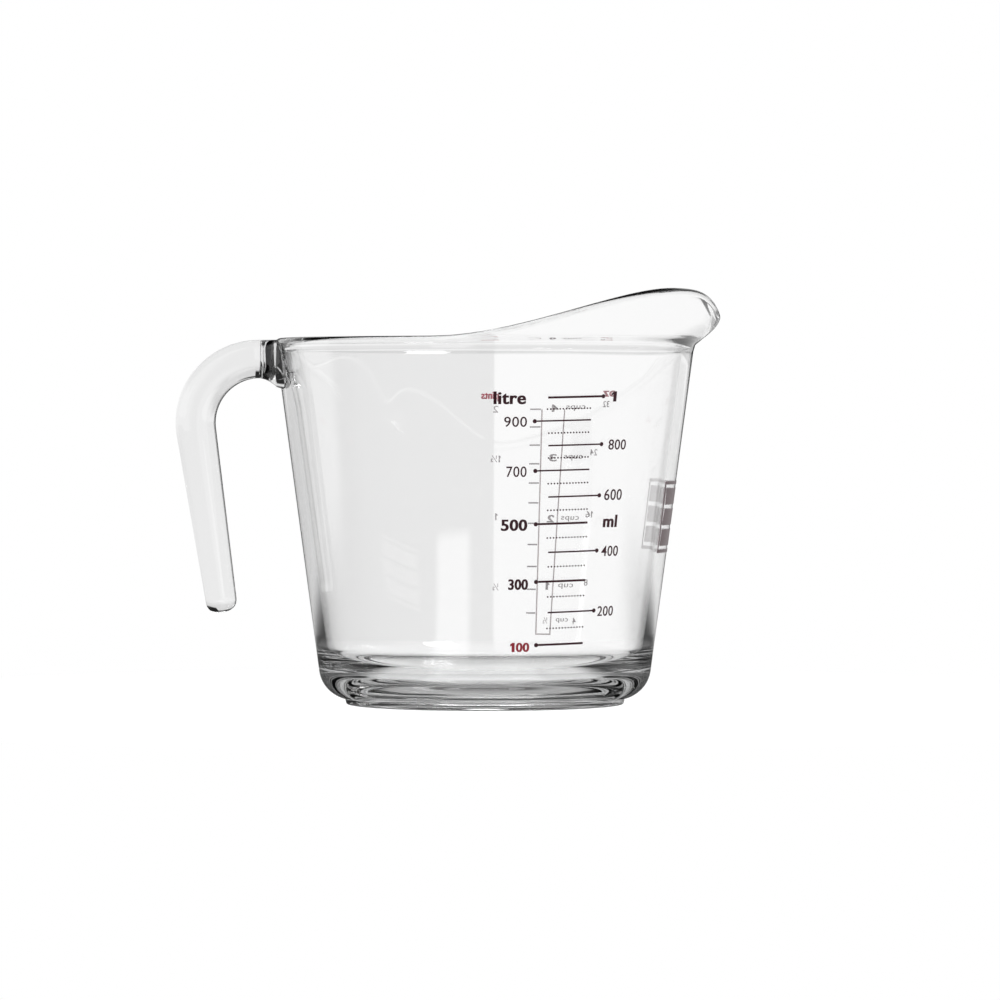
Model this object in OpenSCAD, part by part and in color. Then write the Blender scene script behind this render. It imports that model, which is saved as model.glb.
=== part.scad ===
// Pressed glass measuring jug of one litre, with a raised pouring lip, an open handle and enamel scales.
// Millimetres, +Z up. The origin is on the jug's axis, in the plane it stands on, and +X points to the lip.
// The vessel is a revolved profile, its lip and its handle are lofts, and the scales are worked out from
// the volume that the vessel holds, so the marks follow its inside shape.

/* [Vessel] */
// Height of the plain rim above the table
rim_h = 123.5; // [110:0.5:140]
// Outer radius of the wall at the height of the rim
rim_r = 71; // [66:0.5:76]
// Lean of the wall from upright, in degrees
wall_lean = 7.6; // [5:0.1:9]
// Thickness of the wall
wall = 3.6; // [3:0.1:4.5]
// Height of the floor inside above the table
floor_h = 10; // [8:0.5:14]
// Radius of the corner between the wall and the floor inside
floor_fillet = 12; // [6:0.5:16]
// Radius of the rounded corner between the wall and the underside
heel_r = 11; // [8:0.5:13]
// How far the bead on the rim stands out from each side of the wall
bead = 0.3; // [0.2:0.05:0.6]

/* [Foot] */
// Outer radius of the ring that the jug stands on
foot_r = 47; // [43:0.5:48]
// Width of that ring where it meets the table
foot_w = 4.5; // [3:0.5:8]
// Height of the ring below the heel
foot_h = 1.7; // [1.3:0.1:3]
// Chamfer on the ring's edges
foot_edge = 0.7; // [0.3:0.1:1]
// Height of the hollow underside at its middle
hollow_h = 3; // [2.2:0.1:4]
// Radius of the shallow dome of the hollow underside
hollow_dome_r = 560; // [450:10:900]

/* [Lip] */
// Height of the lip's two wings above the rim
wing_h = 16.4; // [10:0.1:22]
// Angle from the nose at which a wing has sunk into the rim, in degrees
wing_end = 108; // [95:1:120]
// Angle from the nose at which a wing has its full height, in degrees
wing_full = 28; // [20:1:40]
// Depth of the pouring notch between the wings
notch_h = 7.5; // [4:0.1:11]
// Half angle over which the notch spreads, in degrees
notch_spread = 11; // [8:0.5:20]
// How far the nose stands out from the line of the wall
nose_out = 7.6; // [4:0.1:11]
// Half angle over which the nose spreads, in degrees
nose_spread = 18; // [12:0.5:25]

/* [Handle] */
// Drop from the rim to the middle of the arm that leaves the wall
arm_drop = 6.9; // [6.7:0.1:9]
// Distance from the jug's axis to the start of the bend
arm_reach = 76.2; // [75:0.1:84]
// Radius of the bend, along the middle of the handle
bend_r = 21.5; // [16:0.1:26]
// Lean of the grip from upright, in degrees
grip_lean = 8.3; // [5:0.1:11]
// Length of the straight grip below the bend, to the start of its round end
grip_l = 56.5; // [40:0.5:65]
// Thickness of the handle at the top of the grip
grip_t = 12.8; // [10:0.1:13]
// Thickness of the handle at its free end
end_t = 10; // [8:0.1:11.5]
// Width of the grip
grip_w = 20; // [16:0.5:26]
// Width of the root where it spreads over the wall
root_w = 34; // [24:0.5:38]
// How far the root spreads down the wall below the arm
root_flare = 4.3; // [1:0.1:6]
// Radius on the two outer edges of the grip
outer_edge_r = 3; // [1.5:0.1:4]
// Radius on the two inner edges of the grip
inner_edge_r = 4.4; // [2:0.1:4.6]

/* [Litre scale] */
// Volume between two full lines, in millilitres
step_ml = 100; // [50:50:250]
// Largest volume that has a line, in millilitres
top_ml = 1000; // [500:50:1000]
// Thickness of a full line
line_t = 0.52; // [0.4:0.02:1]
// Thickness of a full line with a bold number
bold_line_t = 0.7; // [0.4:0.02:1]
// Angle that a full line covers, in degrees
line_span = 17; // [10:0.5:22]
// Radius of the round dot that ends a full line
dot_r = 0.7; // [0.5:0.05:1.4]
// Thickness of the small dots of the half lines
fine_dot_t = 0.56; // [0.4:0.02:0.7]
// Distance between two small dots
fine_pitch = 1.1; // [0.8:0.05:2.5]
// Angle that a half line covers, in degrees
half_span = 13.2; // [8:0.1:16]
// Azimuth of the scale from the jug's side towards the lip at the top line, in degrees
scale_top_a = 22.3; // [15:0.1:30]
// The same azimuth at the lowest line, in degrees
scale_low_a = 25.6; // [15:0.1:32]
// Tilt of the print on the wall, in degrees
print_tilt = 1.3; // [0:0.1:2]

/* [Cup scale] */
// Volume of a cup, in millilitres
cup_ml = 236.6; // [200:0.1:250]
// Largest number of cups that has a line
top_cups = 4; // [2:1:4]
// Azimuth of the column from the jug's far side towards the lip, in degrees
column_a = 21.4; // [15:0.1:30]
// Half angle of the column at its top, in degrees
column_top_half = 3.75; // [2:0.05:5]
// Half angle of the column at its foot, in degrees
column_low_half = 2.75; // [1.5:0.05:4]
// Thickness of the column's outline
column_line = 0.45; // [0.4:0.05:1.2]
// Height of the column's foot above the floor inside
column_foot = 11.6; // [6:0.1:16]
// Angle that a cup line covers, in degrees
tick_span = 3.4; // [2:0.1:6]

/* [Front panel] */
// Width of the plain printed panel under the lip
panel_w = 46; // [30:1:50]
// Height of the panel
panel_h = 24; // [16:0.5:30]
// Height of the panel's middle above the table
panel_mid = 63.5; // [50:0.5:80]
// Thickness of the panel's outline
panel_line = 1.1; // [0.6:0.1:2]
// Number of plain rules inside the panel
panel_rules = 3; // [1:1:4]

/* [Enamel] */
// Thickness of the fired enamel
ink_t = 0.12; // [0.08:0.01:0.2]
// Clearance between the enamel and the glass
ink_gap = 0.05; // [0.04:0.01:0.08]

/* [Hidden] */
over = 1;  // how far a cutting shape runs past what it cuts
full_turn = 360;  // one turn, in degrees
side_a = -90;  // azimuth of the side with the litre scale, in degrees

// The wall
lean_run = tan(wall_lean);
foot_line_r = rim_r - rim_h * lean_run;  // radius at which the wall's line would meet the table
level_wall = wall / cos(wall_lean);  // thickness of the wall measured level
rim_half = wall / 2 + bead;
rim_mid_z = rim_h - rim_half;
heel_z = foot_h + heel_r;
heel_x = wall_r(heel_z) - heel_r / cos(wall_lean);
fillet_z = floor_h + floor_fillet;
fillet_x = inner_r(fillet_z) - floor_fillet / cos(wall_lean);
hollow_r = foot_r - foot_w;

// The lip
wing_start_share = 0.88;  // how far up the bead the wings start, inside it
wing_rise = rim_mid_z + rim_half * wing_start_share;
lip_rows = 49;
lip_sides = 6;
lip_round = 5;
nose_full_share = 0.85;  // share of the lip's height at which the nose has its full reach

// The handle
root_share = 1.1;  // the length of the root's spread as a share of the arm's
end_w_share = 0.86;  // width of the free end as a share of the grip's
blunt_share = 0.72;  // how square the free end is: 1 is a half round, less is blunter
arm_z = rim_h - arm_drop;
arm_start = rim_r - wall * 2;
arm_l = arm_reach - arm_start;
root_r = wall_r(arm_z - grip_t / 2 - root_flare);  // where the root's lower end meets the wall
bend_a = 90 + grip_lean;
bend_l = bend_r * bend_a * PI / 180;
spine_l = arm_l + bend_l + grip_l;
root_l = (arm_reach - root_r) * root_share;  // length over which the root's spread dies out
arm_steps = 10;
bend_steps = 14;
grip_steps = 3;
end_steps = 6;
corner_steps = 4;

// What the vessel holds, and how many lines fit on the wall below the bead
unit_cube_w = 10;  // width of the cube that holds one millilitre
ml = pow(unit_cube_w, 3);
corner_share = 0.2234;  // how far the middle of what a fillet fills lies from its corner
fillet_loss =
  (1 - PI / 4) * pow(floor_fillet, 2) * 2 * PI * (inner_r(floor_h) - floor_fillet * corner_share);
brim_ml = volume_at(rim_mid_z - 2 * rim_half) / ml;
steps = floor(min(top_ml, brim_ml) / step_ml);
cups = floor(min(top_cups, brim_ml / cup_ml));

function wall_r(z) = foot_line_r + z * lean_run;
function inner_r(z) = wall_r(z) - level_wall;
// Height of the surface of a volume of liquid: the inside of the wall is a cone, less its floor's fillet
function level_z(volume) =
  (pow((volume * ml + fillet_loss) * 3 * lean_run / PI + pow(inner_r(floor_h), 3), 1 / 3)
    - inner_r(0)) / lean_run;

// Volume of liquid whose surface is at a height
function volume_at(z) = (pow(inner_r(z), 3) - pow(inner_r(floor_h), 3)) * PI / 3 / lean_run - fillet_loss;

function clamp(t) = max(0, min(1, t));
function ease(t) = (1 - cos(180 * clamp(t))) / 2;
function swell(a, spread) = exp(-pow(a / spread, 2));
function mix(a, b, t) = a + (b - a) * t;

// Triangles of a skin over rows of points, with the first and last row as flat ends
function skin(rows, n) = concat(
  [for (i = [0:rows - 2], j = [0:n - 1]) [i * n + j, (i + 1) * n + j, (i + 1) * n + (j + 1) % n]],
  [for (i = [0:rows - 2], j = [0:n - 1]) [i * n + j, (i + 1) * n + (j + 1) % n, i * n + (j + 1) % n]],
  [[for (j = [0:n - 1]) j]],
  [[for (j = [n - 1:-1:0]) (rows - 1) * n + j]]
);
function flat(rows) = [for (row = rows, p = row) p];

// Profile of everything inside the outer surface, from the table to the rim
module outer_profile() {
  intersection() {
    square([rim_r * 2, rim_h * 2]);
    union() {
      polygon([
        [0, foot_h],
        [heel_x, foot_h],
        [heel_x + heel_r * cos(wall_lean), heel_z - heel_r * sin(wall_lean)],
        [wall_r(rim_mid_z), rim_mid_z],
        [0, rim_mid_z]
      ]);
      translate([heel_x, heel_z]) circle(r = heel_r, $fn = 96);
      polygon([
        [0, 0],
        [foot_r - foot_edge, 0],
        [foot_r, foot_edge],
        [foot_r, foot_h + foot_edge],
        [0, foot_h + foot_edge]
      ]);
      rim_bead();
    }
  }
}

module rim_bead() {
  translate([wall_r(rim_mid_z) - level_wall / 2, rim_mid_z]) circle(r = rim_half, $fn = 48);
}

// Profile of the space inside, open at the top
module inner_profile() {
  union() {
    polygon([
      [0, floor_h],
      [fillet_x, floor_h],
      [fillet_x + floor_fillet * cos(wall_lean), fillet_z - floor_fillet * sin(wall_lean)],
      [inner_r(rim_h + over), rim_h + over],
      [0, rim_h + over]
    ]);
    translate([fillet_x, fillet_z]) circle(r = floor_fillet, $fn = 96);
  }
}

// Profile of the hollow underside, a shallow dome inside the foot's ring
module hollow_profile() {
  intersection() {
    polygon([
      [0, -over],
      [hollow_r + over, -over],
      [hollow_r - hollow_h, hollow_h],
      [0, hollow_h]
    ]);
    translate([0, hollow_h - hollow_dome_r]) circle(r = hollow_dome_r, $fn = 720);
  }
}

// Height of the lip's edge at an azimuth from the nose
function edge_z(a) =
  wing_rise
  + (rim_h - wing_rise + wing_h) * ease((wing_end - abs(a)) / (wing_end - wing_full))
  - notch_h * swell(a, notch_spread);
function lip_half(a) = min(wall / 2, (edge_z(a) - rim_mid_z) / 2);
// Radius of the middle of the lip's wall
function lip_r(a, z) =
  wall_r(z) - level_wall / 2
  + nose_out * swell(a, nose_spread)
    * sin(90 * min(1, (z - rim_mid_z) / (edge_z(a) - rim_mid_z) / nose_full_share));
// Section of the lip at an azimuth: up the outside, over the round edge and down the inside
function lip_section(a) =
  let (half = lip_half(a), top = edge_z(a) - half, mid = lip_r(a, top))
  [
    for (p = concat(
      [for (i = [0:lip_sides - 1]) let (z = mix(rim_mid_z, top, i / lip_sides)) [lip_r(a, z) + half, z]],
      [for (i = [0:lip_round]) let (q = 180 * i / lip_round) [mid + half * cos(q), top + half * sin(q)]],
      [for (i = [lip_sides - 1:-1:0]) let (z = mix(rim_mid_z, top, i / lip_sides)) [lip_r(a, z) - half, z]]
    )) [p[0] * cos(a), p[0] * sin(a), p[1]]
  ];

module lip() {
  sections = [for (i = [0:lip_rows - 1]) lip_section(mix(wing_end, -wing_end, i / (lip_rows - 1)))];
  polyhedron(points = flat(sections), faces = skin(lip_rows, len(sections[0])));
}

module vessel() {
  color("aliceblue", 0.5) union() {
    rotate_extrude($fn = 144) union() {
      difference() {
        outer_profile();
        inner_profile();
        hollow_profile();
      }
      rim_bead();
    }
    lip();
  }
}

// Place on the handle's middle line at a distance along it, with the angle that it has turned
function spine(s) =
  s < arm_l ? [-arm_start - s, arm_z, 0]
  : s < arm_l + bend_l
    ? let (q = (s - arm_l) / bend_l * bend_a)
      [-arm_reach - bend_r * sin(q), arm_z - bend_r + bend_r * cos(q), q]
    : let (q = bend_a, l = s - arm_l - bend_l)
      [-arm_reach - bend_r * sin(q) - l * cos(q), arm_z - bend_r + bend_r * cos(q) - l * sin(q), q];

// Section of the handle: a rectangle with large round corners, square to its middle line
function handle_section(s, shrink) =
  let (
    place = spine(s),
    q = place[2],
    root = pow(1 - clamp((s + arm_start - root_r) / root_l), 2),
    along = clamp((s - arm_l - bend_l) / grip_l),
    half_t = mix(grip_t, end_t, along) / 2 * shrink,
    out = half_t,
    in = half_t + root_flare * root,
    half_w = (grip_w / 2 + (root_w - grip_w) / 2 * root - grip_w * (1 - end_w_share) / 2 * along)
      - end_t / 2 * (1 - shrink),
    outer_c = min(outer_edge_r, half_t * 0.9),
    inner_c = min(inner_edge_r, half_t * 0.9)
  )
  [
    for (p = concat(
      [for (i = [0:corner_steps]) let (w = 90 * i / corner_steps)
        [half_w - outer_c + outer_c * cos(w), out - outer_c + outer_c * sin(w)]],
      [for (i = [0:corner_steps]) let (w = 90 + 90 * i / corner_steps)
        [-half_w + outer_c + outer_c * cos(w), out - outer_c + outer_c * sin(w)]],
      [for (i = [0:corner_steps]) let (w = 180 + 90 * i / corner_steps)
        [-half_w + inner_c + inner_c * cos(w), -in + inner_c + inner_c * sin(w)]],
      [for (i = [0:corner_steps]) let (w = 270 + 90 * i / corner_steps)
        [half_w - inner_c + inner_c * cos(w), -in + inner_c + inner_c * sin(w)]]
    )) [place[0] - p[1] * sin(q), p[0], place[1] + p[1] * cos(q)]
  ];

module handle_loft() {
  sections = concat(
    [for (i = [0:arm_steps - 1]) handle_section(arm_l * i / arm_steps, 1)],
    [for (i = [0:bend_steps - 1]) handle_section(arm_l + bend_l * i / bend_steps, 1)],
    [for (i = [0:grip_steps - 1]) handle_section(arm_l + bend_l + grip_l * i / grip_steps, 1)],
    [for (i = [0:end_steps]) let (w = 84 * i / end_steps)
      handle_section(spine_l + end_t / 2 * pow(sin(w), blunt_share), pow(cos(w), blunt_share))]
  );
  polyhedron(points = flat(sections), faces = skin(len(sections), len(sections[0])));
}

module handle() {
  color("aliceblue", 0.5) difference() {
    handle_loft();
    rotate_extrude($fn = 144) union() {
      outer_profile();
      square([wall_r(rim_mid_z) - level_wall / 2, rim_h + over]);
    }
  }
}

// Enamel that lies on the wall, a ring sector from one azimuth to another and from one height to another
module wall_patch(from_a, to_a, low, high) {
  rotate([0, 0, from_a]) rotate_extrude(angle = to_a - from_a, $fn = full_turn)
    polygon([
      [wall_r(low) + ink_gap, low],
      [wall_r(low) + ink_gap + ink_t, low],
      [wall_r(high) + ink_gap + ink_t, high],
      [wall_r(high) + ink_gap, high]
    ]);
}

// Enamel dot that lies on the wall, square to it
module wall_dot(a, z, r) {
  rotate([0, 0, a]) translate([wall_r(z), 0, z]) rotate([0, 90 + wall_lean, 0])
    translate([0, 0, ink_gap]) cylinder(r = r, h = ink_t, $fn = 24);
}

// Turns what lies on the wall about the wall's own normal at a place
module tilted(a, z, tilt) {
  spot = [wall_r(z) * cos(a), wall_r(z) * sin(a), z];
  normal = [cos(a) * cos(wall_lean), sin(a) * cos(wall_lean), -sin(wall_lean)];
  translate(spot) rotate(a = tilt, v = normal) translate(-spot) children();
}

low_z = level_z(step_ml);
top_z = level_z(step_ml * steps);
function arc(l, z) = l / wall_r(z) * 180 / PI;
function scale_a(z) = side_a + mix(scale_low_a, scale_top_a, (z - low_z) / (top_z - low_z));
even_shift_share = 0.23;  // how far the lines with their dot on the right lie towards the lip
half_shift_share = 0.1;  // how far the half lines lie towards the lip
bold_steps = [1, 3, 5, 10];  // full lines whose numbers are bold

// Full lines, each with its dot on the side of its number
module litre_lines() {
  color("maroon") for (i = [1:steps]) {
    z = level_z(step_ml * i);
    even = i % 2 == 0;
    mid = scale_a(z) + (even ? line_span * even_shift_share : 0);
    half_t = (search(i, bold_steps) == [] ? line_t : bold_line_t) / 2;
    dot_a = mid + (even ? 1 : -1) * line_span / 2;
    tilted(mid, z, print_tilt) {
      difference() {
        wall_patch(mid - line_span / 2, mid + line_span / 2, z - half_t, z + half_t);
        dot_hole(dot_a, z);
      }
      wall_dot(dot_a, z, dot_r);
    }
  }
}

// Room for a dot in the line that it ends
module dot_hole(a, z) {
  rotate([0, 0, a]) translate([wall_r(z), 0, z]) rotate([0, 90 + wall_lean, 0])
    translate([0, 0, -over]) cylinder(r = dot_r + ink_gap, h = over * 3, $fn = 24);
}

// Half lines between them, each a row of small dots
module half_lines() {
  color("maroon") for (i = [1:steps - 1]) {
    z = level_z(step_ml * (i + 0.5));
    mid = scale_a(z) + line_span * half_shift_share;
    dots = floor(half_span / arc(fine_pitch, z));
    tilted(mid, z, print_tilt)
      for (k = [0:dots]) wall_dot(mid + arc(fine_pitch, z) * (k - dots / 2), z, fine_dot_t / 2);
  }
}

column_top_z = level_z(cup_ml * cups);
column_low_z = floor_h + column_foot;
column_mid_a = -side_a - column_a;
function column_half(z) =
  mix(column_low_half, column_top_half, (z - column_low_z) / (column_top_z - column_low_z));

// Side of the column: a narrow strip along the wall from its foot to its top
module column_side(way) {
  rows = 12;
  sections = [
    for (i = [0:rows])
      let (
        z = mix(column_top_z, column_low_z, i / rows),
        a = column_mid_a + way * column_half(z),
        edge = arc(column_line / 2, z)
      )
      [
        for (p = [[-1, 0], [1, 0], [1, 1], [-1, 1]])
          let (r = wall_r(z) + ink_gap + ink_t * p[1], w = a + edge * p[0])
            [r * cos(w), r * sin(w), z]
      ]
  ];
  polyhedron(points = flat(sections), faces = skin(rows + 1, 4));
}

module cup_column() {
  color("indianred") {
    for (way = [-1, 1]) column_side(way);
    wall_patch(
      column_mid_a - column_half(column_low_z) - arc(column_line / 2, column_low_z),
      column_mid_a + column_half(column_low_z) + arc(column_line / 2, column_low_z),
      column_low_z - column_line - ink_gap,
      column_low_z - ink_gap
    );
  }
}

// Lines for whole cups and thirds of a cup, on the column's side away from the lip
module cup_lines() {
  color("maroon") for (i = [2:cups * 3]) {
    z = level_z(cup_ml * i / 3);
    start = column_mid_a + column_half(z) + arc(column_line, z);
    wall_patch(start, start + tick_span, z - line_t / 2, z + line_t / 2);
  }
}

rule_share = 0.8;  // thickness of a rule as a share of the pitch of the rules

// Plain panel under the lip: an outline filled with broad level rules
module front_panel() {
  low = panel_mid - panel_h / 2;
  high = panel_mid + panel_h / 2;
  half = arc(panel_w / 2, panel_mid);
  stile = arc(panel_line, panel_mid);
  pitch = (panel_h - 3 * panel_line) / panel_rules;
  color("indianred") {
    for (z = [low, high - panel_line]) wall_patch(-half, half, z, z + panel_line);
    for (a = [-half, half - stile])
      wall_patch(a, a + stile, low + panel_line + ink_gap, high - panel_line - ink_gap);
    for (i = [0:panel_rules - 1]) {
      z = low + panel_line * 3 / 2 + pitch * (i + (1 - rule_share) / 2);
      wall_patch(-half + 2 * stile, half - 2 * stile, z, z + pitch * rule_share);
    }
  }
}

vessel();
handle();
litre_lines();
half_lines();
cup_column();
cup_lines();
front_panel();
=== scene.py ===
import math

import bmesh
import bpy
from mathutils import Matrix, Vector


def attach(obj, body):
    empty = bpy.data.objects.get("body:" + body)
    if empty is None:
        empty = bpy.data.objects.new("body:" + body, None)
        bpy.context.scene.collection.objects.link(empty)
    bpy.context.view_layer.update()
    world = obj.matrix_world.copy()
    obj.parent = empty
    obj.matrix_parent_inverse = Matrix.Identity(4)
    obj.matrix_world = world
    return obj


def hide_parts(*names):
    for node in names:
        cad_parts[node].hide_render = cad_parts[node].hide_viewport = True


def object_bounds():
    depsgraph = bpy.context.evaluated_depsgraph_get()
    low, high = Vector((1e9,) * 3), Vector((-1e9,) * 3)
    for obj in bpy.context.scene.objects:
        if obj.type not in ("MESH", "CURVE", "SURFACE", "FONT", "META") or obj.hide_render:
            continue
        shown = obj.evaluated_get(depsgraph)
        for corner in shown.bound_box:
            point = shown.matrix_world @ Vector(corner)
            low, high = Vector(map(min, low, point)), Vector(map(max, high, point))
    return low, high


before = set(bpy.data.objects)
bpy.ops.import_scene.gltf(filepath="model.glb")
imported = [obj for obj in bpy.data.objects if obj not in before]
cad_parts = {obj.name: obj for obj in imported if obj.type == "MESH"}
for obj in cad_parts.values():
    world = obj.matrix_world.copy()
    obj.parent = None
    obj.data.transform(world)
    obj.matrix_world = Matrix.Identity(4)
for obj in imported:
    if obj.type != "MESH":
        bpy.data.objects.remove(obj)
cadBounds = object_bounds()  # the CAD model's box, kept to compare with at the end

mm = 0.001
print("measuring jug: frame loaded")

# The glass follows the same sizes as the CAD model, in millimetres
vesselSpec = {
    "rimH": 123.5,  # height of the plain rim
    "rimR": 71.0,  # outer radius of the wall there
    "lean": math.radians(7.6),  # lean of the wall
    "wall": 3.6,
    "bead": 0.3,  # how far the bead stands out from each side
    "beadSpan": 1.15,  # half the bead's height, as a share of half the rim's thickness
    "beadReach": 1.3,  # the rim's own rows start this far below its middle, as the same share
    "floorH": 10.0,
    "floorFillet": 12.0,
    "heelR": 11.0,
    "heelStart": math.radians(1.5),  # the heel's round starts just beyond the foot
    "footR": 47.0,
    "footW": 4.5,
    "footH": 1.7,
    "footEdge": 0.7,
    "hollowH": 3.0,
    "hollowDomeR": 560.0,
    "hollowStepIn": 2.2,  # the soft step round the hollow, to each side of the ring's inner radius
    "hollowStepOut": 0.6,
    "crispAngle": 32,  # degrees from which an edge stays crisp
}

lipSpec = {
    "wingH": 16.4,
    "wingEnd": 108.0,  # degrees from the nose at which a wing ends
    "wingFull": 28.0,  # and at which it is at its full height
    "wingStart": 0.88,  # where it starts, as a share of half the rim above the rim's middle
    "notchH": 7.5,
    "notchSpread": 11.0,
    "noseOut": 7.6,
    "noseSpread": 18.0,
    "noseFull": 0.85,
    "leastRise": 1,  # least height over which the nose is pushed out
    "blend": 0.5,  # rounding where a wing sinks into the rim
    "beadFade": 2.5,  # the bead is gone where the edge is this far above the rim
    "crowding": 1.1,  # draws the rows together at the bead
}

# Faces round the jug, and rows in each part of its section
stepSpec = {
    "turns": 288,
    "dome": 14,
    "hollow": 6,
    "ring": 4,
    "footEdge": 4,
    "heel": 17,
    "wall": 24,
    "rim": 24,
    "rimClose": 4,  # the rim's last rows, which close to the thickness of the edge
    "edge": 12,
    "fillet": 18,
    "floor": 12,
}

handleSpec = {
    "armDrop": 6.9,
    "armReach": 76.2,
    "armStart": 1.2,  # from the wall to the first ring outside it
    "bendR": 21.5,
    "gripLean": math.radians(8.3),
    "gripL": 56.5,
    "gripT": 12.8,
    "endT": 10.0,
    "gripW": 20.0,
    "rootW": 34.0,
    "rootFlare": 4.3,
    "rootShare": 1.1,  # length of the root's spread, as a share of the arm's
    "rootDepth": 0.4,  # how deep the root's ring lies in the wall, as a share of its thickness
    "hubWallH": 100.0,  # its hub lies in the wall too, as far out as the wall is at this height,
    "hubDepth": 0.2,  # less this share of the thickness,
    "hubDrop": 2,  # and this far below the arm's middle
    "outerEdgeR": 3.0,
    "innerEdgeR": 4.4,
    "edgeLimit": 0.9,  # largest rounding, as a share of half the thickness
    "endW": 0.86,  # width at the free end, as a share of the grip's
    "endTurn": 86,  # degrees that the free end's round turns
    "blunt": 0.72,  # how square the free end is: 1 is a half round
    "armSteps": 16,
    "bendSteps": 40,
    "gripSteps": 16,
    "endSteps": 12,
    "cornerSteps": 9,
}


def mix(a, b, t):
    return a + (b - a) * t


def clamp(t):
    return max(0.0, min(1.0, t))


def ease(t):
    return (1 - math.cos(math.pi * clamp(t))) / 2


def swell(a, spread):
    return math.exp(-((a / spread) ** 2))


def wallR(z):
    v = vesselSpec
    return v["rimR"] - (v["rimH"] - z) * math.tan(v["lean"])


levelWall = vesselSpec["wall"] / math.cos(vesselSpec["lean"])
wallHalf = vesselSpec["wall"] / 2
rimHalf = wallHalf + vesselSpec["bead"]
rimMidZ = vesselSpec["rimH"] - rimHalf
beadLow = rimMidZ - rimHalf * vesselSpec["beadReach"]


# Height of the glass's top edge at an angle from the nose
def edgeZ(a):
    s = lipSpec
    rimH = vesselSpec["rimH"]
    start = rimMidZ + rimHalf * s["wingStart"]
    spread = ease((s["wingEnd"] - abs(a)) / (s["wingEnd"] - s["wingFull"]))
    wing = start + (rimH - start + s["wingH"]) * spread - s["notchH"] * swell(a, s["notchSpread"])
    rise = wing - rimH
    return rimH + (rise + math.sqrt(rise * rise + s["blend"] ** 2)) / 2


# Radius of the middle of the wall, which the nose pushes outwards above the bead
def middleR(a, z):
    s = lipSpec
    top = max(edgeZ(a), rimMidZ + s["leastRise"])
    up = clamp((z - rimMidZ) / (top - rimMidZ) / s["noseFull"])
    push = s["noseOut"] * swell(a, s["noseSpread"]) * math.sin(up * math.pi / 2)
    return wallR(z) - levelWall / 2 + push


# Half the glass's thickness at a height, with the bead's bulge
def halfAt(z):
    t = (z - rimMidZ) / (rimHalf * vesselSpec["beadSpan"])
    bulge = (1 - t * t) ** 2 if abs(t) < 1 else 0
    return wallHalf / math.cos(vesselSpec["lean"]) + vesselSpec["bead"] * bulge


# A round of the section, between two angles from straight down
def arcRows(x, z, r, first, last, steps):
    angles = [mix(first, last, i / steps) for i in range(steps + 1)]
    return [(x + r * math.sin(q), z - r * math.cos(q)) for q in angles]


# From the middle of the underside to the top of the heel
def undersideRows():
    v, n = vesselSpec, stepSpec
    hollowR = v["footR"] - v["footW"]
    domeEnd, ringStart = hollowR - v["hollowStepIn"], hollowR + v["hollowStepOut"]
    points = []
    for i in range(1, n["dome"] + 1):
        r = domeEnd * i / n["dome"]
        points.append((r, v["hollowH"] - r * r / 2 / v["hollowDomeR"]))
    domeZ = points[-1][1]
    for i in range(1, n["hollow"] + 1):  # a soft step from the hollow down to the ring
        t = i / n["hollow"]
        points.append((mix(domeEnd, ringStart, t), domeZ * (1 - ease(t))))
    for i in range(1, n["ring"]):
        points.append((mix(ringStart, v["footR"] - v["footEdge"], i / n["ring"]), 0.0))
    for i in range(n["footEdge"] + 1):
        q = math.radians(90 * i / n["footEdge"])
        x = v["footR"] - v["footEdge"] * (1 - math.sin(q))
        points.append((x, v["footEdge"] * (1 - math.cos(q))))
    heelZ = v["footH"] + v["heelR"]
    heelX = wallR(heelZ) - v["heelR"] / math.cos(v["lean"])
    first = math.asin(min(1, (v["footR"] - heelX) / v["heelR"])) + v["heelStart"]
    return points + arcRows(heelX, heelZ, v["heelR"], first, math.pi / 2 - v["lean"], n["heel"])


# From below the bead up the outside, over the edge and down the inside, at an angle from the nose
def rimRows(a):
    steps, closing = stepSpec["rim"], stepSpec["rimClose"]
    top = edgeZ(a)
    plain = clamp(1 - (top - vesselSpec["rimH"]) / lipSpec["beadFade"])  # 1 on the rim, 0 on the lip
    topHalf = mix(wallHalf, rimHalf, ease(plain))
    centre = top - topHalf
    rows = []
    for i in range(1, steps + 1):
        z = mix(beadLow, centre, (i / steps) ** lipSpec["crowding"])
        half = mix(halfAt(z), topHalf, ease((i - steps + closing) / closing))
        rows.append((middleR(a, z), half, z))
    middle = middleR(a, centre)
    points = [(mid + half, z) for mid, half, z in rows]
    for i in range(1, stepSpec["edge"]):
        q = math.pi * i / stepSpec["edge"]
        points.append((middle + topHalf * math.cos(q), centre + topHalf * math.sin(q)))
    return points + [(mid - half, z) for mid, half, z in reversed(rows)]


# From below the bead down the inside to the middle of the floor
def insideRows():
    v, n = vesselSpec, stepSpec
    lean, fillet = v["lean"], v["floorFillet"]
    filletZ = v["floorH"] + fillet
    filletX = wallR(filletZ) - levelWall - fillet / math.cos(lean)
    innerLow = filletZ - fillet * math.sin(lean)
    heights = [mix(innerLow, beadLow, i / n["wall"]) for i in range(n["wall"], 0, -1)]
    points = [(wallR(z) - levelWall, z) for z in heights]
    points += arcRows(filletX, filletZ, fillet, math.pi / 2 - lean, 0, n["fillet"])
    return points + [(filletX * (1 - i / n["floor"]), v["floorH"]) for i in range(1, n["floor"])]


# Section of the vessel at an angle, from the middle of the underside round to the middle of the floor
def vesselSection(a):
    points = undersideRows()
    low, steps = points[-1][1], stepSpec["wall"]
    heights = [mix(low, beadLow, i / steps) for i in range(1, steps + 1)]
    return points + [(wallR(z), z) for z in heights] + rimRows(a) + insideRows()


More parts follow.
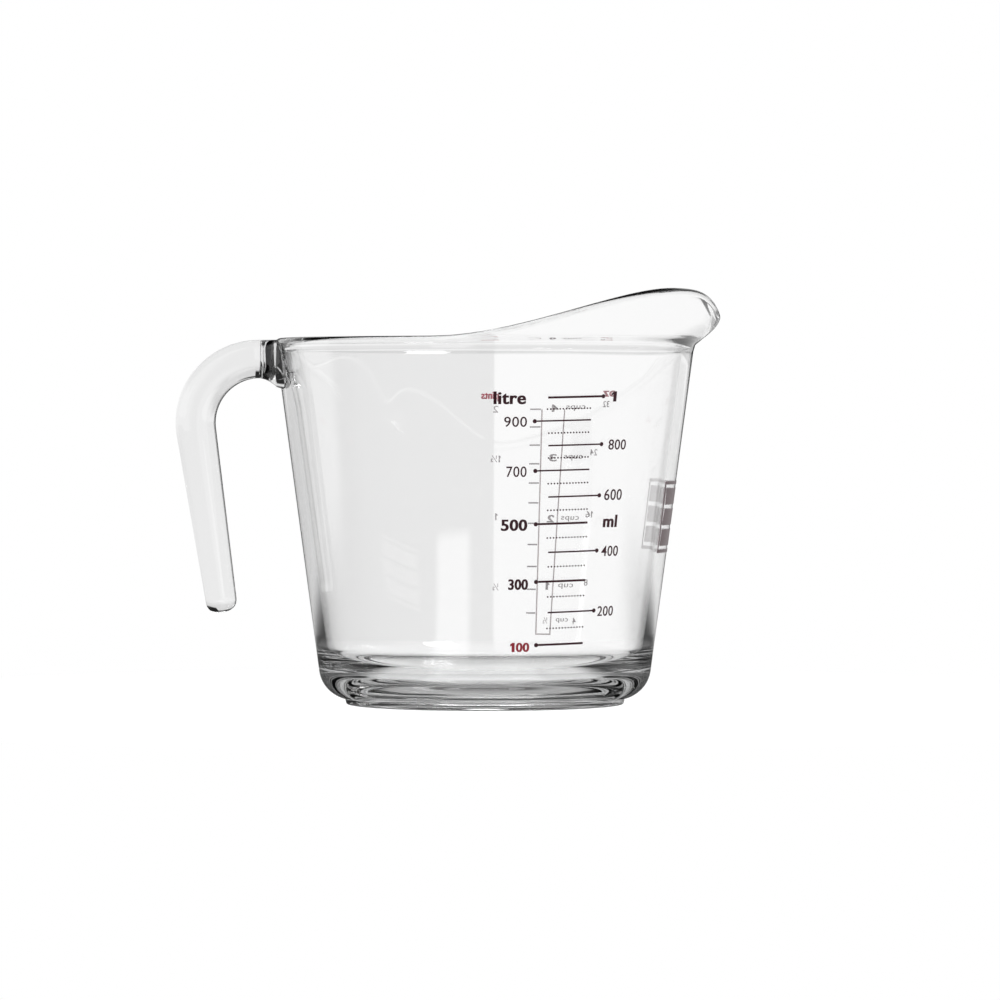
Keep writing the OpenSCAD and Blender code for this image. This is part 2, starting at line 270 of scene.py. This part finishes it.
def meshFrom(name, points, faces):
    mesh = bpy.data.meshes.new(name)
    mesh.from_pydata([[c * mm for c in p] for p in points], [], faces)
    mesh.validate()
    piece = bpy.data.objects.new(name, mesh)
    bpy.context.scene.collection.objects.link(piece)
    return piece


def vesselMesh():
    turns = stepSpec["turns"]
    points, faces = [], []
    for t in range(turns):
        a = (t + 0.5) * 360 / turns - 180
        w = math.radians(a)
        points += [(r * math.cos(w), r * math.sin(w), z) for r, z in vesselSection(a)]
    rows = len(points) // turns
    under = len(points)
    points.append((0, 0, vesselSpec["hollowH"]))
    points.append((0, 0, vesselSpec["floorH"]))
    for t in range(turns):
        here, there = t * rows, (t + 1) % turns * rows
        faces.append((under, there, here))
        faces += [(here + i, there + i, there + i + 1, here + i + 1) for i in range(rows - 1)]
        faces.append((under + 1, here + rows - 1, there + rows - 1))
    return meshFrom("glass_jug", points, faces)


# Lengths of the arm and of the bend, along the handle's middle line
rootZ = vesselSpec["rimH"] - handleSpec["armDrop"] - handleSpec["gripT"] / 2 - handleSpec["rootFlare"]
armL = handleSpec["armReach"] - wallR(rootZ)
bendL = handleSpec["bendR"] * (math.pi / 2 + handleSpec["gripLean"])


# Place on the handle's middle line: distance from the axis, height and angle turned
def spine(s):
    h = handleSpec
    armZ = vesselSpec["rimH"] - h["armDrop"]
    if s < armL:
        return -h["armReach"] + armL - s, armZ, 0.0
    turned = min((s - armL) / bendL, 1) * (math.pi / 2 + h["gripLean"])
    past = max(s - armL - bendL, 0)
    x = -h["armReach"] - h["bendR"] * math.sin(turned) - past * math.cos(turned)
    z = armZ - h["bendR"] + h["bendR"] * math.cos(turned) - past * math.sin(turned)
    return x, z, turned


# Ring of the handle at a length along it: a rounded oblong, which flares at the root and shrinks at the end
def handleSection(s, shrink):
    h = handleSpec
    x, z, turned = spine(s)
    root = (1 - clamp(s / (armL * h["rootShare"]))) ** 2
    along = clamp((s - armL - bendL) / h["gripL"])
    out = mix(h["gripT"], h["endT"], along) / 2 * shrink
    low = out + h["rootFlare"] * root
    half = h["gripW"] / 2 + (h["rootW"] - h["gripW"]) / 2 * root
    half -= h["gripW"] * (1 - h["endW"]) / 2 * along + h["endT"] / 2 * (1 - shrink)
    outerR = min(h["outerEdgeR"], out * h["edgeLimit"])
    innerR = min(h["innerEdgeR"], out * h["edgeLimit"])
    corners = (
        (1, 1, outerR, out, 0),
        (-1, 1, outerR, out, 90),
        (-1, -1, innerR, low, 180),
        (1, -1, innerR, low, 270),
    )
    ring = []
    for sideWay, upWay, radius, reach, start in corners:
        for i in range(h["cornerSteps"]):
            w = math.radians(start + 90 * i / (h["cornerSteps"] - 1))
            y = sideWay * (half - radius) + radius * math.cos(w)
            up = upWay * (reach - radius) + radius * math.sin(w)
            ring.append((x - up * math.sin(turned), y, z + up * math.cos(turned)))
    return ring


# The handle's loft: its first ring lies within the glass of the wall, and the arm leaves it from there
def handleMesh():
    h = handleSpec
    spots = [(mix(h["armStart"], armL, i / h["armSteps"]), 1) for i in range(h["armSteps"])]
    spots += [(armL + bendL * i / h["bendSteps"], 1) for i in range(h["bendSteps"])]
    spots += [(armL + bendL + h["gripL"] * i / h["gripSteps"], 1) for i in range(h["gripSteps"])]
    for i in range(h["endSteps"] + 1):
        w = math.radians(h["endTurn"] * i / h["endSteps"])
        reach = h["endT"] / 2 * math.sin(w) ** h["blunt"]
        spots.append((armL + bendL + h["gripL"] + reach, math.cos(w) ** h["blunt"]))
    rings = [handleSection(s, shrink) for s, shrink in spots]
    inWall = []
    for x, y, z in handleSection(0, 1):
        r = wallR(min(z, rimMidZ)) - levelWall * h["rootDepth"]
        inWall.append((-math.sqrt(r * r - y * y), y, z))
    rings.insert(0, inWall)
    n = len(inWall)
    points = [p for ring in rings for p in ring]
    hub = len(points)
    hubX = -wallR(h["hubWallH"]) + levelWall * h["hubDepth"]
    points.append((hubX, 0, vesselSpec["rimH"] - h["armDrop"] - h["hubDrop"]))
    faces = [(hub, (j + 1) % n, j) for j in range(n)]
    faces.append(tuple((len(rings) - 1) * n + j for j in reversed(range(n))))
    for i in range(len(rings) - 1):
        for j in range(n):
            k = (j + 1) % n
            faces.append((i * n + j, (i + 1) * n + j, (i + 1) * n + k, i * n + k))
    return meshFrom("handle_blank", points, faces)


def outward(piece):
    work = bmesh.new()
    work.from_mesh(piece.data)
    bmesh.ops.recalc_face_normals(work, faces=work.faces)
    work.to_mesh(piece.data)
    work.free()


# Marks the edges that stay crisp, and shades everything else smooth
def smoothShade(piece, crisp):
    work = bmesh.new()
    work.from_mesh(piece.data)
    for face in work.faces:
        face.smooth = True
    for edge in work.edges:
        edge.smooth = len(edge.link_faces) == 2 and edge.calc_face_angle(0) < math.radians(crisp)
    work.to_mesh(piece.data)
    work.free()


# The finer sections stand up to 0.1 mm outside the CAD model's facets, so the glass is drawn in to its box.
# A side that lies at the origin, such as the foot's, stays where it is
def drawIn(piece):
    shares = []
    for axis in range(3):
        reach = [v.co[axis] for v in piece.data.vertices]
        ends = ((cadBounds[0][axis], min(reach)), (cadBounds[1][axis], max(reach)))
        shares.append(min([1.0] + [limit / end for limit, end in ends if abs(end) > mm]))
    piece.data.transform(Matrix.Diagonal((*shares, 1.0)))


# Vessel and handle as one pressing
def glassJug():
    jug, blank = vesselMesh(), handleMesh()
    outward(jug)
    outward(blank)
    join = jug.modifiers.new("handle", "BOOLEAN")
    join.operation = "UNION"
    join.solver = "EXACT"
    join.object = blank
    depsgraph = bpy.context.evaluated_depsgraph_get()
    whole = bpy.data.meshes.new_from_object(jug.evaluated_get(depsgraph))
    jug.modifiers.clear()
    jug.data = whole
    bpy.data.objects.remove(blank)
    drawIn(jug)
    smoothShade(jug, vesselSpec["crispAngle"])
    return jug


# An sRGB hex code as a linear colour
def fromHex(code):
    def linear(c):
        return c / 12.92 if c <= 0.04045 else ((c + 0.055) / 1.055) ** 2.4

    return tuple(linear(int(code[i : i + 2], 16) / 255) for i in (1, 3, 5)) + (1.0,)


white = fromHex("#ffffff")


def newMaterial(name):
    material = bpy.data.materials.new(name)
    material.use_nodes = True
    tree = material.node_tree
    tree.nodes.clear()
    return material, tree


# Adds a node with its settings and its inputs, which are named or in order: a value, a socket, or a node
# whose first output is linked
def addNode(tree, kind, settings=None, inputs=()):
    node = tree.nodes.new("ShaderNode" + kind)
    for key, value in (settings or {}).items():
        setattr(node, key, value)
    for key, value in inputs.items() if isinstance(inputs, dict) else enumerate(inputs):
        if isinstance(value, bpy.types.Node):
            value = value.outputs[0]
        if isinstance(value, bpy.types.NodeSocket):
            tree.links.new(value, node.inputs[key])
        else:
            node.inputs[key].default_value = value
    return node


# Settings that many nodes share
add = {"operation": "ADD"}
subtract = {"operation": "SUBTRACT"}
multiply = {"operation": "MULTIPLY"}
divide = {"operation": "DIVIDE"}
absolute = {"operation": "ABSOLUTE"}
smaller = {"operation": "MINIMUM"}
larger = {"operation": "MAXIMUM"}
soft = {"interpolation_type": "SMOOTHSTEP"}  # for a step with soft ends


def metres(span):
    return [end * mm for end in span]


# Picks a tone by how often the light was mirrored on its way to the eye: not at all, once, or more
def byMirrorings(tree, never, once, more):
    count = addNode(tree, "LightPath").outputs["Glossy Depth"]
    first = addNode(tree, "Math", smaller, (count, 1.0))
    others = addNode(tree, "Math", larger, (addNode(tree, "Math", subtract, (count, 1.0)), 0.0))
    second = addNode(tree, "Math", smaller, (others, 1.0))
    atMostOnce = addNode(tree, "Mix", inputs={"Factor": first, "A": never, "B": once})
    return addNode(tree, "Mix", inputs={"Factor": second, "A": atMostOnce, "B": more})


glassSpec = {
    "waveWidth": 26,  # millimetres across one slow wave in the wall
    "waveUpright": 0.22,  # the waves' scale upright, as a share of that across
    "waveDepth": 0.4,
    "waveStrength": 0.01,
    "ior": 1.52,
    "letThrough": (0.9, 0.91, 0.91, 1),  # share of a lamp's light that each surface lets through
    "bodyTone": "#202122",
    "bodyDensity": 6.0,  # thick glass looks grey: the base, the heel and the handle
}


# Clear soda-lime glass, pressed in a mould and fire-polished: bright, with faint upright waves from the mould
def pressedGlass():
    s = glassSpec
    material, tree = newMaterial("pressedGlass")
    across = 1 / (s["waveWidth"] * mm)
    coords = addNode(tree, "TexCoord")
    stretched = addNode(
        tree,
        "Mapping",
        inputs={"Vector": coords.outputs["Object"], "Scale": (across, across, s["waveUpright"] * across)},
    )
    waves = addNode(tree, "TexNoise", inputs={"Vector": stretched, "Scale": 1.0, "Detail": 1.0})
    bump = addNode(
        tree,
        "Bump",
        inputs={"Height": waves, "Strength": s["waveStrength"], "Distance": s["waveDepth"] * mm},
    )
    glass = addNode(
        tree,
        "BsdfPrincipled",
        inputs={
            "Base Color": white,
            "Roughness": 0.0,
            "IOR": s["ior"],
            "Transmission Weight": 1.0,
            "Normal": bump,
        },
    )
    clear = addNode(tree, "BsdfTransparent", inputs={"Color": s["letThrough"]})
    rays = addNode(tree, "LightPath")
    mixed = addNode(tree, "MixShader", inputs=(rays.outputs["Is Shadow Ray"], glass, clear))
    body = addNode(
        tree, "VolumeAbsorption", inputs={"Color": fromHex(s["bodyTone"]), "Density": s["bodyDensity"]}
    )
    addNode(tree, "OutputMaterial", inputs={"Surface": mixed, "Volume": body})
    return material


enamelSpec = {
    "meshPitch": 0.5,  # millimetres between the threads of the printing screen
    "detail": 3.0,
    "dense": 0.35,  # from dense to thin, by the pattern of the threads
    "thin": 0.75,
    "roughSpan": (0.3, 0.7),
    "roughness": (0.28, 0.45),
    "ior": 1.5,
    "specular": 0.3,
    "bumpStrength": 0.2,
    "bumpDepth": 0.03,
    "colours": {  # where it is dense, where it is thin, and its back
        "maroonEnamel": ("#26030f", "#3a0918", "#8f888a"),
        "redEnamel": ("#7c1826", "#96222f", "#a39799"),
        "roseEnamel": ("#7c1826", "#96222f", "#a8626b"),
        "greyEnamel": ("#442f33", "#5a4347", "#e6e1e2"),
    },
}


# Screen-printed ceramic enamel fired onto the glass: dense, half glossy, a little uneven where the mesh let
# it thin. Its back, which shows through the glass, is a paler grey where it has fused with the wall
def firedEnamel(name):
    s = enamelSpec
    dense, thin, back = s["colours"][name]
    material, tree = newMaterial(name)
    coords = addNode(tree, "TexCoord")
    place = coords.outputs["Object"]
    facing = addNode(
        tree, "VectorMath", {"operation": "DOT_PRODUCT"}, (place, coords.outputs["Normal"])
    )
    inward = addNode(tree, "Math", {"operation": "LESS_THAN"}, (facing.outputs["Value"], 0.0))
    threads = addNode(
        tree,
        "TexNoise",
        inputs={"Vector": place, "Scale": 1 / (s["meshPitch"] * mm), "Detail": s["detail"]},
    )
    ramp = addNode(tree, "ValToRGB", inputs=(threads,))
    for stop, at, colour in zip(ramp.color_ramp.elements, (s["dense"], s["thin"]), (dense, thin)):
        stop.position = at
        stop.color = fromHex(colour)
    shown = addNode(tree, "MixRGB", inputs={"Fac": inward, "Color1": ramp, "Color2": fromHex(back)})
    rough = addNode(tree, "MapRange", inputs=(threads, *s["roughSpan"], *s["roughness"]))
    bump = addNode(
        tree,
        "Bump",
        inputs={"Height": threads, "Strength": s["bumpStrength"], "Distance": s["bumpDepth"] * mm},
    )
    enamel = addNode(
        tree,
        "BsdfPrincipled",
        inputs={
            "Base Color": shown,
            "Roughness": rough,
            "IOR": s["ior"],
            "Specular IOR Level": s["specular"],
            "Normal": bump,
        },
    )
    addNode(tree, "OutputMaterial", inputs={"Surface": enamel})
    return material


def dress(piece, material):
    piece.data.materials.clear()
    piece.data.materials.append(material)


# Lettering: plain numbers and units in the built-in typeface, laid round the cone of the wall.
# Each row is the words, the height of their middle, their left and right ends in degrees towards the lip
# from the jug's side (near) or from its far side (far), their height and how bold they are
letterSpec = {
    "ink": 0.12,  # thickness of the enamel
    "gap": 0.05,  # from the glass to the enamel
    "bold": 0.02,
    "light": 0.006,
    "strikes": {"bold": (-0.1, 0.1), "light": (0,)},  # degrees by which a bold word is laid twice
    "spacing": 1.06,
    "curveSteps": 5,
    "one": [(0.4, 0), (1, 0), (1, 1), (0.55, 1), (0, 0.82), (0, 0.62), (0.4, 0.74)],  # a 1 with its flag
    "near": [
        ("litre", 103.3, 2.6, 11.4, 4.2, "bold"),
        ("1", 103.8, 37.7, 39.2, 3.35, "bold"),
        ("900", 95.5, 5.5, 11.9, 3.35, "light"),
        ("700", 79.2, 6.3, 12.2, 3.5, "light"),
        ("500", 61.7, 5.0, 12.8, 3.8, "bold"),
        ("300", 42.2, 7.5, 13.6, 3.55, "bold"),
        ("800", 88.0, 37.9, 44.5, 3.4, "light"),
        ("600", 71.5, 37.9, 44.8, 3.65, "light"),
        ("ml", 62.8, 38.4, 43.8, 4.1, "bold"),
        ("400", 52.9, 38.6, 45.5, 3.45, "light"),
        ("200", 33.0, 39.1, 45.9, 3.3, "light"),
    ],
    "lowest": [
        ("1", 21.5, 8.5, 9.8, 3.05, "bold"),
        ("00", 21.5, 10.4, 14.7, 3.05, "bold"),
    ],
    "headings": [
        ("oz", 104.8, 44.0, 38.6, 2.2, "bold"),
        ("pints", 104.0, 4.0, -1.2, 3.4, "bold"),
    ],
    "far": [
        ("32", 101.2, 41.5, 39.0, 2.2, "light"),
        ("24", 84.5, 38.2, 35.4, 2.2, "light"),
        ("1", 63.0, 38.4, 37.7, 2.2, "light"),
        ("6", 63.0, 37.2, 35.4, 2.2, "light"),
        ("8", 39.4, 38.6, 37.0, 2.2, "light"),
        ("2", 99.6, 4.0, 2.4, 2.4, "light"),
        ("1", 82.2, 4.9, 4.2, 2.4, "light"),
        ("\u00bd", 82.2, 3.8, 1.6, 2.4, "light"),
        ("1", 62.0, 4.0, 3.2, 2.4, "light"),
        ("\u00bd", 37.6, 4.6, 2.4, 2.4, "light"),
        ("4", 99.9, 23.0, 20.6, 2.6, "bold"),
        ("3", 82.6, 23.2, 20.8, 2.6, "bold"),
        ("2", 61.4, 23.4, 21.0, 2.6, "bold"),
        ("1", 38.0, 22.9, 21.7, 2.6, "bold"),
        ("cups", 99.9, 32.4, 25.6, 1.9, "light"),
        ("cups", 82.6, 32.6, 25.8, 1.9, "light"),
        ("cups", 61.4, 32.8, 26.0, 1.9, "light"),
        ("cup", 38.0, 32.4, 26.4, 1.9, "light"),
        ("\u00bd", 26.1, 22.9, 21.1, 2.2, "light"),
        ("cup", 26.1, 31.2, 26.2, 1.7, "light"),
        ("4", 26.1, 34.6, 33.2, 2.2, "light"),
    ],
}


# A flat word of thickness 1 in the built-in typeface
def typedWord(words, weight):
    curve = bpy.data.curves.new("letters", "FONT")
    curve.body = words
    curve.size = 1.0
    curve.offset = weight
    curve.space_character = letterSpec["spacing"]
    curve.resolution_u = letterSpec["curveSteps"]
    curve.extrude = 0.5
    flat = bpy.data.objects.new("letters", curve)
    bpy.context.scene.collection.objects.link(flat)
    depsgraph = bpy.context.evaluated_depsgraph_get()
    mesh = bpy.data.meshes.new_from_object(flat.evaluated_get(depsgraph))
    bpy.data.objects.remove(flat)
    points = [tuple(v.co) for v in mesh.vertices]
    faces = [tuple(f.vertices) for f in mesh.polygons]
    bpy.data.meshes.remove(mesh)
    return points, faces


# The typeface has a plain bar for a 1, so that figure is drawn here with its flag, of thickness 1 too
def figureOne():
    outline = letterSpec["one"]
    n = len(outline)
    points = [(x, y, -0.5) for x, y in outline] + [(x, y, 0.5) for x, y in outline]
    sides = [(i, (i + 1) % n, (i + 1) % n + n, i + n) for i in range(n)]
    return points, [tuple(reversed(range(n))), tuple(range(n, 2 * n))] + sides


# Bends a word round the wall between two azimuths
def wrapWord(words, z, fromA, toA, height, weight, centreA, reach):
    flat, faces = figureOne() if words == "1" else typedWord(words, letterSpec[weight])
    lowX, highX = min(p[0] for p in flat), max(p[0] for p in flat)
    lowY, highY = min(p[1] for p in flat), max(p[1] for p in flat)
    points = []
    for x, y, depth in flat:
        up = z + ((y - lowY) / (highY - lowY) - 0.5) * height
        a = math.radians(centreA + reach * mix(fromA, toA, (x - lowX) / (highX - lowX)))
        out = wallR(up) + letterSpec["gap"] + letterSpec["ink"] * (depth + 0.5)
        points.append((out * math.cos(a), out * math.sin(a), up))
    return points, faces


# All words of one side as one piece; near words run towards the lip, far words away from it
def lettering(name, rows, centreA, reach, material):
    points, faces = [], []
    for words, z, fromA, toA, height, weight in rows:
        for shift in letterSpec["strikes"][weight]:
            ends = fromA + shift, toA + shift
            more, shapes = wrapWord(words, z, *ends, height, weight, centreA, reach)
            faces += [tuple(i + len(points) for i in f) for f in shapes]
            points += more
    piece = meshFrom(name, points, faces)
    dress(piece, material)
    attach(piece, "root")


glass = pressedGlass()
maroon, red, rose, grey = [firedEnamel(name) for name in enamelSpec["colours"]]

jug = glassJug()
dress(jug, glass)
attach(jug, "root")
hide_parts("vessel", "handle")
print("glass built:", len(jug.data.polygons), "faces")

printed = {
    "litre_lines": maroon,
    "half_lines": maroon,
    "cup_lines": maroon,
    "cup_column": red,
    "front_panel": grey,
}
for name, enamel in printed.items():
    dress(bpy.data.objects[name], enamel)
lettering("litre_letters", letterSpec["near"], -90, 1, maroon)
lettering("lowest_letters", letterSpec["lowest"], -90, 1, red)
lettering("cup_letters", letterSpec["far"], 90, -1, maroon)
lettering("cup_headings", letterSpec["headings"], 90, -1, rose)
print("lettering laid round the wall")


# Puts a camera or a lamp in its place and turns it to its target
def aimed(name, data, place, target):
    thing = bpy.data.objects.new(name, data)
    thing.location = place
    thing.rotation_euler = (Vector(target) - Vector(place)).to_track_quat("-Z", "Y").to_euler()
    bpy.context.scene.collection.objects.link(thing)
    return thing


# Camera at the photograph's angle: near the height of the litre line, 1.84 m away
cameraSpec = {
    "place": (0.0051, -1.836, 0.100),
    "target": (0.0051, 0.0, 0.0689),
    "lens": 195.5,
    "sensor": 36,
}
cameraData = bpy.data.cameras.new("photoCamera")
cameraData.lens = cameraSpec["lens"]
cameraData.sensor_width = cameraSpec["sensor"]
camera = aimed("photoCamera", cameraData, cameraSpec["place"], cameraSpec["target"])
bpy.context.scene.camera = camera


# Floor that looks white: partly matt card under the jug and plain white further out. No shadow shows on it.
# What the glass sees of it is painted lighter and darker by place: painted shadow, painted shade, painted
# dark cards and a painted glow. Spans are in millimetres from the jug's axis, and those marked as bearings
# are shares of the distance in front or behind
floorSpec = {
    "half": 4000,  # half the floor's width
    "matt": (90, 260),  # from the matt card to plain white
    "leastLit": 0.6,  # share of its own light on the card
    "cardWhite": 0.92,
    # Seen straight through the glass: a painted shadow under the jug and painted dark beside the handle
    "under": (40, 70),
    "paintedShadowTone": 0.8,
    "side": (110, 260),  # painted dark, as of a card standing in front, beside the handle
    "paintedSideTone": 0.04,
    # Mirrored once, in front: painted dark, as of a card, whose edge runs outwards from the jug's near side
    "cardEdge": (-3, 3),
    "cardLean": 0.09,
    "paintedCardTone": 0.03,
    "gapOpens": (0.1, 0.2),  # bearings: the painted card has a gap beside its edge
    "gapShuts": (0.46, 0.56),
    "gapEnds": (250, 275),
    "paintedGlowTone": 1.6,  # painted light, brighter than white, as if a lamp stood in it
    "near": (80, 130),  # the card ends before it reaches the jug
    "middle": (33, 45),  # and there it is painted pale in the middle and dark beside it
    "middleTone": 0.85,
    "besideTone": 0.02,
    "shade": (45, 75),  # painted shade: light mirrored up from under the foot is dim
    "shadeTone": 0.85,
    # Mirrored once, behind: painted dark round the jug, pale further out, with a painted dark strip straight
    # behind
    "back": (-20, 60),
    "ring": (220, 480),
    "paintedRingTone": 0.08,
    "leftTone": 0.8,
    "rightTone": 1.0,
    "strip": (0.22, 0.34),  # bearings
    "stripStarts": (100, 200),
    "paintedStripTone": 0.05,
    "leastDepth": 1,  # keeps the bearings finite beside the jug
    # Mirrored more often, within the base and the handle: painted pale near the jug and dark further out
    "inner": (100, 200),
    "innerTone": 0.72,
    "innerFar": 0.03,
}


def paleFloor():
    s = floorSpec
    least = s["leastDepth"] * mm
    material, tree = newMaterial("paleFloor")
    place = addNode(tree, "TexCoord").outputs["Object"]
    x, y = addNode(tree, "SeparateXYZ", inputs=(place,)).outputs[:2]
    reach = addNode(tree, "VectorMath", {"operation": "LENGTH"}, (place,)).outputs["Value"]

    # Straight through: a painted shadow under the jug and painted dark beside the handle
    under = addNode(tree, "MapRange", soft, (reach, *metres(s["under"]), s["paintedShadowTone"], 1.0))
    corner = addNode(tree, "Math", multiply, (addNode(tree, "Math", larger, (x, y)), -1.0))
    side = addNode(tree, "MapRange", soft, (corner, *metres(s["side"]), 1.0, s["paintedSideTone"]))
    plain = addNode(tree, "Math", multiply, (under, side))

    # The painted dark card in front and the painted glow in its gap
    lean = addNode(tree, "Math", multiply, (y, s["cardLean"]))
    across = addNode(tree, "Math", add, (x, lean))
    left = addNode(tree, "MapRange", soft, (across, *metres(s["cardEdge"]), 1.0, 0.0))
    ahead = addNode(tree, "Math", smaller, (y, -least))
    bearing = addNode(tree, "Math", divide, (x, ahead))
    opening = addNode(tree, "MapRange", soft, (bearing, *s["gapOpens"], 0.0, 1.0))
    shutting = addNode(tree, "MapRange", soft, (bearing, *s["gapShuts"], 1.0, 0.0))
    ending = addNode(tree, "MapRange", soft, (reach, *metres(s["gapEnds"]), s["paintedGlowTone"], 0.0))
    between = addNode(tree, "Math", multiply, (opening, shutting))
    gap = addNode(tree, "Math", multiply, (between, ending))
    paintedCardTone = addNode(tree, "Math", larger, (gap, s["paintedCardTone"]))
    card = addNode(tree, "Mix", inputs={"Factor": left, "A": 1.0, "B": paintedCardTone})

    # The painted dark ring and the painted dark strip behind
    outer = addNode(tree, "Mix", inputs={"Factor": left, "A": s["rightTone"], "B": s["leftTone"]})
    ring = addNode(tree, "MapRange", soft, (reach, *metres(s["ring"]), s["paintedRingTone"], outer))
    behind = addNode(tree, "Math", larger, (y, least))
    slant = addNode(tree, "Math", absolute, (addNode(tree, "Math", divide, (x, behind)),))
    strip = addNode(tree, "MapRange", soft, (slant, *s["strip"], s["paintedStripTone"], 1.0))
    beyond = addNode(tree, "MapRange", soft, (y, *metres(s["stripStarts"]), 0.0, 1.0))
    striped = addNode(tree, "Mix", inputs={"Factor": beyond, "A": 1.0, "B": strip})
    rear = addNode(tree, "Math", multiply, (ring, striped))

    # Mirrored once: front and back, then the painted floor beside the jug and the painted shade under it
    back = addNode(tree, "MapRange", soft, (y, *metres(s["back"]), 0.0, 1.0))
    around = addNode(tree, "Mix", inputs={"Factor": back, "A": card, "B": rear})
    width = addNode(tree, "Math", absolute, (x,))
    middle = addNode(
        tree, "MapRange", soft, (width, *metres(s["middle"]), s["middleTone"], s["besideTone"])
    )
    near = addNode(tree, "MapRange", soft, (reach, *metres(s["near"]), 1.0, 0.0))
    beside = addNode(tree, "Mix", inputs={"Factor": near, "A": around, "B": middle})
    shade = addNode(tree, "MapRange", soft, (reach, *metres(s["shade"]), s["shadeTone"], 1.0))
    shown = addNode(tree, "Math", multiply, (beside, shade))

    inner = addNode(tree, "MapRange", soft, (reach, *metres(s["inner"]), s["innerTone"], s["innerFar"]))
    tone = byMirrorings(tree, plain, shown, inner)
    rays = addNode(tree, "LightPath")
    seen = addNode(tree, "Math", larger, (tone, rays.outputs["Is Camera Ray"]))
    pale = addNode(tree, "Math", multiply, (seen, s["cardWhite"]))
    matt = addNode(tree, "BsdfDiffuse", inputs={"Color": pale})
    lit = addNode(tree, "Emission", inputs={"Color": white, "Strength": seen})
    far = addNode(tree, "MapRange", inputs=(reach, *metres(s["matt"]), s["leastLit"], 1.0))
    floor = addNode(tree, "MixShader", inputs=(far, matt, lit))
    addNode(tree, "OutputMaterial", inputs={"Surface": floor})
    return material


def studioFloor():
    half = floorSpec["half"]
    corners = [(-half, -half, 0), (half, -half, 0), (half, half, 0), (-half, half, 0)]
    piece = meshFrom("studio_floor", corners, [(0, 1, 2, 3)])
    dress(piece, paleFloor())


studioFloor()


# World: a white studio. The camera sees only white, and what shows straight through the glass is a white
# backdrop under a dark ceiling. What the glass mirrors is bright on one side and dark on the other:
# the far wall mirrors the world and the near wall the floor, so the two are dark on opposite sides.
# Spans are of the light's direction, as the sine of its angle upwards, towards the lip or straight behind
worldSpec = {
    "haze": (0.03, 0.2),  # upwards: the backdrop turns pale grey
    "hazeTone": 0.82,
    "ceiling": (0.22, 0.34),  # upwards: the dark ceiling starts
    "ceilingTone": 0.02,
    "ceilingRise": 0.32,  # it starts higher on the handle's side
    "rise": (-0.08, -0.02),  # towards the lip
    "mirrorCeiling": (0.34, 0.55),  # upwards, where it is mirrored
    "cardEdge": (-0.12, -0.06),  # towards the lip: the dark side starts
    "back": (0.1, 0.75),  # behind: it fades
    "darkTone": 0.0,
    "backTone": 0.55,
    "brightTone": 1.0,
    "edge": (0.93, 0.972),  # behind: a dark strip, which only the outermost edges mirror
    "edgeTone": 0.05,
    "inner": (0.35, 0.6),  # to either side, for light mirrored more than once inside the glass
    "innerTone": 0.72,
    "innerFar": 0.03,
}


def studioWorld():
    s = worldSpec
    world = bpy.data.worlds.new("studio")
    bpy.context.scene.world = world
    world.use_nodes = True
    tree = world.node_tree
    tree.nodes.clear()
    direction = addNode(tree, "TexCoord").outputs["Generated"]
    x, y, z = addNode(tree, "SeparateXYZ", inputs=(direction,)).outputs

    # Straight through
    haze = addNode(tree, "MapRange", soft, (z, *s["haze"], 1.0, s["hazeTone"]))
    rise = addNode(tree, "MapRange", soft, (x, *s["rise"], s["ceilingRise"], 0.0))
    lower = addNode(tree, "Math", subtract, (z, rise))
    roof = addNode(tree, "MapRange", soft, (lower, *s["ceiling"], 1.0, s["ceilingTone"]))
    plain = addNode(tree, "Math", multiply, (haze, roof))

    # Mirrored once
    ceiling = addNode(tree, "MapRange", soft, (z, *s["mirrorCeiling"], 1.0, s["ceilingTone"]))
    lipSide = addNode(tree, "MapRange", soft, (x, *s["cardEdge"], 0.0, 1.0))
    card = addNode(tree, "MapRange", soft, (y, *s["back"], s["darkTone"], s["backTone"]))
    side = addNode(tree, "Mix", inputs={"Factor": lipSide, "A": s["brightTone"], "B": card})
    strip = addNode(tree, "MapRange", soft, (y, *s["edge"], 1.0, s["edgeTone"]))
    walls = addNode(tree, "Math", multiply, (ceiling, side))
    shown = addNode(tree, "Math", multiply, (walls, strip))

    # Mirrored more often
    width = addNode(tree, "Math", absolute, (x,))
    aside = addNode(tree, "MapRange", soft, (width, *s["inner"], s["innerTone"], s["innerFar"]))
    inner = addNode(tree, "Math", multiply, (ceiling, aside))

    studio = byMirrorings(tree, plain, shown, inner)
    rays = addNode(tree, "LightPath")
    seen = addNode(tree, "Math", larger, (studio, rays.outputs["Is Camera Ray"]))
    back = addNode(tree, "Background", inputs={"Color": white, "Strength": seen})
    addNode(tree, "OutputWorld", inputs={"Surface": back})


studioWorld()

# Each lamp's place, target, size in metres and power in watts
lampSpec = {
    "keyLamp": ((1.2, -1.4, 1.5), (0, 0, 0.07), 0.9, 26),
    "topLamp": ((0.0, 0.2, 2.0), (0, 0, 0.05), 1.4, 34),
}
for name, (place, target, size, power) in lampSpec.items():
    lampData = bpy.data.lights.new(name, "AREA")
    lampData.shape = "SQUARE"
    lampData.size = size
    lampData.energy = power
    lamp = aimed(name, lampData, place, target)
    lamp.visible_glossy = False  # no bright squares mirrored in the glass
print("camera, floor, world and lamps set")

scene = bpy.context.scene
scene.view_settings.view_transform = "Standard"
# Light is mirrored many times within the thick base before it leaves, so its paths aren't cut short
pathSpec = {"max_bounces": 32, "glossy_bounces": 24, "transmission_bounces": 32}
for limit, count in pathSpec.items():
    setattr(scene.cycles, limit, count)

print("scene ready")
